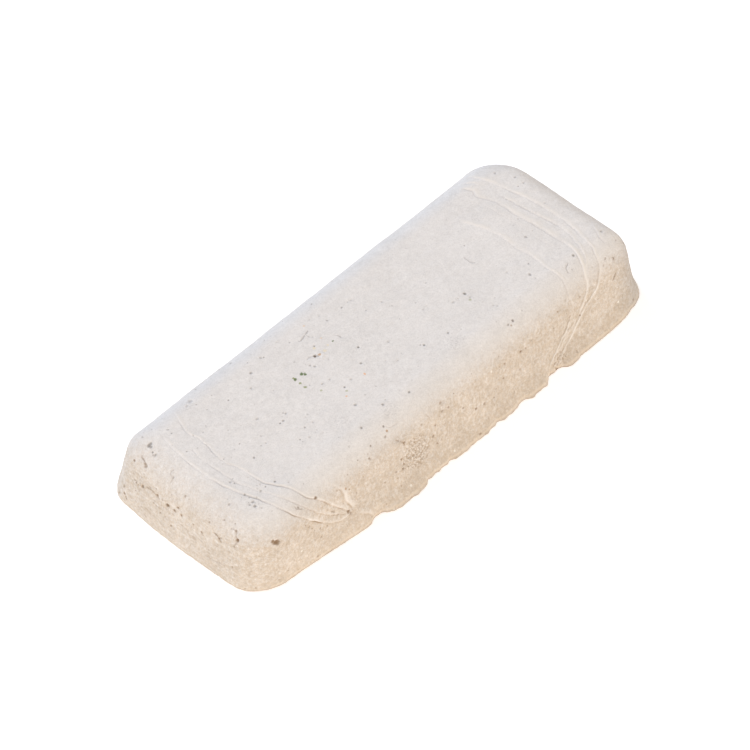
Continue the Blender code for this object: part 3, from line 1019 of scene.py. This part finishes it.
TOP_COLOUR = (0.779, 0.770, 0.761)
# Painted warm shade: the colour the walls turn to as they face away from above.
WARM_SHADE_COLOUR = (0.600, 0.524, 0.432)
# Painted highlight on crests.
CREST_HIGHLIGHT_COLOUR = (0.830, 0.805, 0.770)
# Painted shade in pits and nicks, grey on the top and browner below it.
GREY_HOLLOW_SHADE = (0.330, 0.315, 0.300)
BROWN_HOLLOW_SHADE = (0.270, 0.170, 0.090)
# Painted shade in grooves and cavities, grey on the top and browner below it.
GREY_GROOVE_SHADE = (0.560, 0.545, 0.540)
BROWN_GROOVE_SHADE = (0.430, 0.330, 0.235)
# Painted contact shadow along the foot's edge.
FOOT_SHADOW_COLOUR = (0.340, 0.220, 0.125)
# Painted highlight on the foot's rim.
RIM_HIGHLIGHT_COLOUR = (0.820, 0.730, 0.610)
# Painted shade multiplied over the walls round the far front corner.
FAR_PAINTED_SHADE = (0.800, 0.825, 0.865)
SMUDGE_COLOUR = (0.430, 0.425, 0.430)
GREY_PORE = (0.360, 0.345, 0.330)
BROWN_PORE = (0.340, 0.240, 0.150)
FLOOR_COLOUR = (0.90, 0.90, 0.90)
FLOOR_GLOW = 0.38
FLOOR_ROUGHNESS, FLOOR_SHEEN = 0.95, 0.10
CHALK_DIFFUSE_ROUGHNESS, CHALK_SHEEN = 0.90, 0.25

# How strongly each mark's colour covers the skin.
SMUDGE_TINT, CREST_TINT, GROOVE_TINT, HOLLOW_TINT = 0.42, 0.50, 0.55, 0.85
RIM_TINT, FOOT_SHADOW_TINT = 0.70, 0.90

# Grain of the skin: (size in mm, detail, strength on the top).  The coarse grain also tints.
FINE_GRAIN = ((0.28, 1.0, 0.25), (0.62, 2.0, 0.14))
COARSE_GRAIN = ((1.5, 3.0, 0.13), (8.0, 3.0, 0.11))
FINE_WALL_GRAIN, COARSE_WALL_GRAIN = 1.6, 1.4
GRAIN_TINT = 2.0
TINT_GRAIN = ((0.30, 1.0, 0.9), (0.70, 2.0, 1.4))
TOP_TINT = 0.15
STREAK_SIZE, STREAK_STRENGTH = 0.5, 0.16
LEVEL_STRETCH = (0.10, 0.10, 1.0)
UPRIGHT_STRETCH = (1.0, 1.0, 0.12)
DASH_STRETCH = (0.35, 0.35, 1.0)
ASIDE = (3.1, -1.7, 2.3)

# Relief of the powdery grain: (size in mm, detail, weight), its depth, and more of it on walls.
BUMP_GRAIN = ((0.16, 1.0, 0.25), (0.42, 2.0, 0.60), (1.7, 3.0, 0.90))
BUMP_DEPTH, BUMP_ON_WALLS = 0.06, 1.7

# Pores: (cell in mm, share of the cells, radius in mm, strength), and more of them on walls.
BIG_PORES = (1.7, 0.10, 0.24, 0.34)
SMALL_PORES = (0.8, 0.22, 0.17, 0.17)
DASHES = (0.7, 0.25, 0.22, 0.30)
LEAST_SPECK, SPECK_SOFTNESS = 0.45, 0.05
PORES_ON_WALLS = 1.6

# Dust lies in flecks, a coloured grain has an uneven edge, and the sheen changes a little.
DUST_FLECK_SIZE, DUST_FLECK_RANGE = 0.38, (0.50, 0.64)
GRAIN_EDGE_SIZE, GRAIN_EDGE_RANGE = 0.5, (0.7, 1.4)
GRAIN_CORE, GRAIN_EDGE, GRAIN_COVER = 0.7, 1.35, 0.85
SHEEN_SIZE, SKIN_ROUGHNESS = 1.7, (0.86, 0.97)
MIDDLE_NOISE = (0.3, 0.7)


def add_node(tree, kind, inputs=None, **settings):
    """A new node with its settings, and its inputs given as values or as sockets to link."""
    node = tree.nodes.new(kind)
    for name, value in settings.items():
        setattr(node, name, value)
    for name, value in (inputs or {}).items():
        if isinstance(value, bpy.types.NodeSocket):
            tree.links.new(value, node.inputs[name])
        else:
            node.inputs[name].default_value = value
    return node


def math_node(tree, operation, first, second=0.0):
    return add_node(tree, "ShaderNodeMath", {0: first, 1: second}, operation=operation).outputs[0]


def noise(tree, place, size_mm, detail=3.0, roughness=0.55):
    scale = 1 / (size_mm * MM)
    inputs = {"Vector": place, "Scale": scale, "Detail": detail, "Roughness": roughness}
    return add_node(tree, "ShaderNodeTexNoise", inputs).outputs["Fac"]


def ramp(tree, value, low, high, start=0.0, stop=1.0):
    """The value's range from low to high, smoothly spread over start to stop."""
    inputs = {"Value": value, "From Min": low, "From Max": high, "To Min": start, "To Max": stop}
    return add_node(tree, "ShaderNodeMapRange", inputs, interpolation_type="SMOOTHSTEP").outputs[0]


def blend(tree, factor, base, over, mode="MIX"):
    node = add_node(tree, "ShaderNodeMix", {"Factor": factor}, data_type="RGBA", blend_type=mode)
    colour_inputs = [socket for socket in node.inputs if socket.type == "RGBA"]
    for socket, colour in zip(colour_inputs, (base, over)):
        if isinstance(colour, bpy.types.NodeSocket):
            tree.links.new(colour, socket)
        else:
            socket.default_value = (*colour, 1.0)
    return next(socket for socket in node.outputs if socket.type == "RGBA")


def attribute(tree, name):
    return add_node(tree, "ShaderNodeAttribute", attribute_name=name).outputs["Fac"]


def grain_colour(tree, colour, place, ragged, grains):
    """Lays each coloured grain over the colour, with an uneven outline."""
    for middle, radius, tint in grains:
        centre = tuple(value * MM for value in middle)
        away = add_node(tree, "ShaderNodeVectorMath", {0: place, 1: centre}, operation="DISTANCE")
        edge = math_node(tree, "MULTIPLY", away.outputs["Value"], ragged)
        size = radius * MM
        mask = ramp(tree, edge, size * GRAIN_CORE, size * GRAIN_EDGE, GRAIN_COVER, 0.0)
        colour = blend(tree, mask, colour, tint)
    return colour


def speck_mask(tree, place, cell_mm, share, radius_mm):
    """Round specks, one in a given share of the cells of a random pattern."""
    inputs = {"Vector": place, "Scale": 1 / (cell_mm * MM), "Randomness": 1.0}
    cells = add_node(tree, "ShaderNodeTexVoronoi", inputs)
    picked = add_node(tree, "ShaderNodeSeparateColor", {0: cells.outputs["Color"]})
    chosen = math_node(tree, "LESS_THAN", picked.outputs[0], share)
    largest = radius_mm / cell_mm
    size = ramp(tree, picked.outputs[1], 0.0, 1.0, LEAST_SPECK * largest, largest)
    edge = math_node(tree, "SUBTRACT", cells.outputs["Distance"], size)
    soft = SPECK_SOFTNESS / cell_mm
    dot = ramp(tree, edge, -soft, soft, 1.0, 0.0)
    return math_node(tree, "MULTIPLY", dot, chosen)


def centred(tree, value):
    return math_node(tree, "SUBTRACT", value, 0.5)


def total(tree, parts):
    """Adds up pairs of a value and its weight."""
    value = 0.0
    for part, weight in parts:
        value = math_node(tree, "ADD", value, math_node(tree, "MULTIPLY", part, weight))
    return value


def aside(tree, place):
    """The same pattern space moved far aside, for noise that is independent of the rest."""
    moved = add_node(tree, "ShaderNodeVectorMath", {0: place, 1: ASIDE}, operation="ADD")
    return moved.outputs[0]


def streaks(tree, place, stretch):
    """Noise drawn out where `stretch` is small."""
    drawn = add_node(tree, "ShaderNodeVectorMath", {0: place, 1: stretch}, operation="MULTIPLY")
    return centred(tree, noise(tree, drawn.outputs[0], STREAK_SIZE, 2.0))


def grain_of(tree, place, wall, grains, on_walls):
    """Brightness changes of the skin round 0, stronger on the walls."""
    parts = [(centred(tree, noise(tree, place, size, detail)), weight)
             for size, detail, weight in grains]
    strength = ramp(tree, wall, 0.0, 1.0, 1.0, on_walls)
    return math_node(tree, "MULTIPLY", total(tree, parts), strength)


def drawn_lines(tree, place):
    """Faint lines the mould drew: level on the ends, upright on the sides."""
    level = streaks(tree, place, LEVEL_STRETCH)
    level = math_node(tree, "MULTIPLY", level, attribute(tree, "end"))
    upright = streaks(tree, place, UPRIGHT_STRETCH)
    upright = math_node(tree, "MULTIPLY", upright, attribute(tree, "side"))
    return total(tree, ((level, STREAK_STRENGTH), (upright, STREAK_STRENGTH)))


def skin_bump(tree, place, wall):
    """The powdery grain's relief, rougher on the walls."""
    parts = [(noise(tree, place, size, detail), weight) for size, detail, weight in BUMP_GRAIN]
    strength = ramp(tree, wall, 0.0, 1.0, 1.0, BUMP_ON_WALLS)
    height = math_node(tree, "MULTIPLY", total(tree, parts), strength)
    inputs = {"Height": height, "Strength": 1.0, "Distance": BUMP_DEPTH * MM}
    return add_node(tree, "ShaderNodeBump", inputs).outputs[0]


def pores(tree, place, wall):
    """Small dark pores: round ones everywhere, and level dashes on the ends."""
    *big_specks, big_strength = BIG_PORES
    *small_specks, small_strength = SMALL_PORES
    *dash_specks, dash_strength = DASHES
    big = speck_mask(tree, place, *big_specks)
    small = speck_mask(tree, place, *small_specks)
    flat = add_node(tree, "ShaderNodeVectorMath", {0: place, 1: DASH_STRETCH}, operation="MULTIPLY")
    dashes = speck_mask(tree, flat.outputs[0], *dash_specks)
    dashes = math_node(tree, "MULTIPLY", dashes, attribute(tree, "end"))
    round_ones = total(tree, ((big, big_strength), (small, small_strength)))
    strength = ramp(tree, wall, 0.0, 1.0, 1.0, PORES_ON_WALLS)
    round_ones = math_node(tree, "MULTIPLY", round_ones, strength)
    return total(tree, ((round_ones, 1.0), (dashes, dash_strength)))


def tinted(tree, colour, mask, strength, over):
    return blend(tree, math_node(tree, "MULTIPLY", mask, strength), colour, over)


def skin_colour(tree, place, warm_shade):
    """Pale grey to painted warm shade, with the grain's light and dark and its browner spots."""
    coarse = grain_of(tree, place, warm_shade, COARSE_GRAIN, COARSE_WALL_GRAIN)
    coarse = math_node(tree, "ADD", coarse, drawn_lines(tree, place))
    fine = grain_of(tree, place, warm_shade, FINE_GRAIN, FINE_WALL_GRAIN)
    brown_spots = [(centred(tree, noise(tree, aside(tree, place), size, detail)), weight)
                   for size, detail, weight in TINT_GRAIN]
    browner = total(tree, brown_spots + [(coarse, -GRAIN_TINT)])
    tintable = math_node(tree, "ADD", warm_shade, TOP_TINT)
    uneven = math_node(tree, "ADD", warm_shade, math_node(tree, "MULTIPLY", tintable, browner))
    # Painted warm shade: the top's colour turns creamier on the walls.
    colour = blend(tree, uneven, TOP_COLOUR, WARM_SHADE_COLOUR)
    shade = total(tree, ((coarse, 1.0), (fine, 1.0)))
    shade = math_node(tree, "ADD", shade, 1.0)
    shade_colour = add_node(tree, "ShaderNodeCombineColor", {0: shade, 1: shade, 2: shade})
    return blend(tree, 1.0, colour, shade_colour.outputs[0], "MULTIPLY")


def marked_colour(tree, colour, place, warm_shade):
    """Dust and pores over the skin's colour, then painted highlights on crests and the foot's rim,
    painted shade in grooves and hollows and round the far front corner, and a painted contact
    shadow along the foot.
    """
    flecks = ramp(tree, noise(tree, place, DUST_FLECK_SIZE), *DUST_FLECK_RANGE)
    dusty = math_node(tree, "MULTIPLY", attribute(tree, "smudge"), flecks)
    colour = tinted(tree, colour, dusty, SMUDGE_TINT, SMUDGE_COLOUR)
    browner_below = attribute(tree, "browner_below")
    pore_colour = blend(tree, browner_below, GREY_PORE, BROWN_PORE)
    colour = tinted(tree, colour, pores(tree, place, warm_shade), 1.0, pore_colour)
    # Painted highlight on crests, then painted shade in grooves and cavities.
    colour = tinted(tree, colour, attribute(tree, "crest"), CREST_TINT, CREST_HIGHLIGHT_COLOUR)
    groove_shade_colour = blend(tree, browner_below, GREY_GROOVE_SHADE, BROWN_GROOVE_SHADE)
    colour = tinted(tree, colour, attribute(tree, "groove"), GROOVE_TINT, groove_shade_colour)
    # Painted shade in the bottoms of pits and nicks.
    hollow_shade_colour = blend(tree, browner_below, GREY_HOLLOW_SHADE, BROWN_HOLLOW_SHADE)
    colour = tinted(tree, colour, attribute(tree, "hollow"), HOLLOW_TINT, hollow_shade_colour)
    # Painted highlight on the foot's rim.
    colour = tinted(tree, colour, attribute(tree, "rim"), RIM_TINT, RIM_HIGHLIGHT_COLOUR)
    # Painted contact shadow along the foot's edge.
    painted_foot_shadow = attribute(tree, "foot_contact_shadow")
    colour = tinted(tree, colour, painted_foot_shadow, FOOT_SHADOW_TINT, FOOT_SHADOW_COLOUR)
    # Painted shade round the far front corner.
    return blend(tree, attribute(tree, "painted_far_shade"), colour, FAR_PAINTED_SHADE, "MULTIPLY")


def chalk_material(grains):
    material = bpy.data.materials.new("cast_chalk")
    material.use_nodes = True
    tree = material.node_tree
    shader = tree.nodes["Principled BSDF"]
    place = add_node(tree, "ShaderNodeTexCoord").outputs["Object"]
    warm_shade = attribute(tree, "warm_shade")
    colour = marked_colour(tree, skin_colour(tree, place, warm_shade), place, warm_shade)
    ragged = noise(tree, place, GRAIN_EDGE_SIZE, 2.0)
    ragged = ramp(tree, ragged, *MIDDLE_NOISE, *GRAIN_EDGE_RANGE)
    colour = grain_colour(tree, colour, place, ragged, grains)
    tree.links.new(colour, shader.inputs["Base Color"])
    roughness = ramp(tree, noise(tree, place, SHEEN_SIZE), *MIDDLE_NOISE, *SKIN_ROUGHNESS)
    tree.links.new(roughness, shader.inputs["Roughness"])
    tree.links.new(skin_bump(tree, place, warm_shade), shader.inputs["Normal"])
    shader.inputs["Specular IOR Level"].default_value = CHALK_SHEEN
    shader.inputs["Diffuse Roughness"].default_value = CHALK_DIFFUSE_ROUGHNESS
    return material


def floor_material():
    material = bpy.data.materials.new("pale_floor")
    material.use_nodes = True
    shader = material.node_tree.nodes["Principled BSDF"]
    shader.inputs["Base Color"].default_value = (*FLOOR_COLOUR, 1.0)
    shader.inputs["Roughness"].default_value = FLOOR_ROUGHNESS
    shader.inputs["Specular IOR Level"].default_value = FLOOR_SHEEN
    shader.inputs["Emission Color"].default_value = (1.0, 1.0, 1.0, 1.0)
    shader.inputs["Emission Strength"].default_value = FLOOR_GLOW
    return material


# ---- Stage, light and camera ----

FLOOR_SIZE = 8.0
WORLD_COLOUR = (1.0, 1.0, 1.0)
WORLD_STRENGTH = 0.535
# Soft boxes: direction they shine from (azimuth, elevation in degrees), power, size, colour.
SOFT_BOXES = {
    "near_key": (-95.0, 18.0, 4.6, 1.2, (1.0, 1.0, 1.0)),
    "front_warm": (-20.0, 25.0, 13.7, 1.2, (1.0, 0.81, 0.64)),
    "back_cool": (-170.0, 30.0, 18.0, 1.2, (0.79, 0.84, 1.0)),
}
SOFT_BOX_DISTANCE = 1.6


def pale_floor():
    bpy.ops.mesh.primitive_plane_add(size=FLOOR_SIZE, location=(0.0, 0.0, 0.0))
    floor = bpy.context.object
    floor.name = "floor"
    floor.data.materials.append(floor_material())
    return floor


def towards(azimuth, elevation):
    """Unit vector to an azimuth (0 is the front, -90 the near end) and an elevation."""
    level = math.cos(elevation)
    return Vector((math.sin(azimuth) * level, -math.cos(azimuth) * level, math.sin(elevation)))


def soft_box(name, azimuth, elevation, power, size, colour):
    light = bpy.data.lights.new(name, "AREA")
    light.shape = "DISK"
    light.size = size
    light.energy = power
    light.color = colour
    lamp = bpy.data.objects.new(name, light)
    direction = towards(math.radians(azimuth), math.radians(elevation))
    lamp.location = direction * SOFT_BOX_DISTANCE
    lamp.rotation_euler = direction.to_track_quat("Z", "Y").to_euler()
    bpy.context.scene.collection.objects.link(lamp)
    return lamp


def studio_light():
    world = bpy.data.worlds.new("studio")
    world.use_nodes = True
    background = world.node_tree.nodes["Background"]
    background.inputs["Color"].default_value = (*WORLD_COLOUR, 1.0)
    background.inputs["Strength"].default_value = WORLD_STRENGTH
    bpy.context.scene.world = world
    for name, values in SOFT_BOXES.items():
        soft_box(name, *values)


def studio_camera():
    data = bpy.data.cameras.new("camera")
    data.sensor_width = 36.0
    data.lens = CAMERA_LENS
    camera = bpy.data.objects.new("camera", data)
    back = towards(CAMERA_AZIMUTH, CAMERA_ELEVATION)
    camera.location = CAMERA_AIM + back * CAMERA_DISTANCE
    camera.rotation_euler = back.to_track_quat("Z", "Y").to_euler()
    bpy.context.scene.collection.objects.link(camera)
    bpy.context.scene.camera = camera


def write_sizes():
    bpy.context.view_layer.update()


bar = chalk_bar()
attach(bar, "root")
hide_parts(CAD_NODE)
pale_floor()
studio_light()
studio_camera()
bpy.context.scene.view_settings.view_transform = "Standard"
write_sizes()
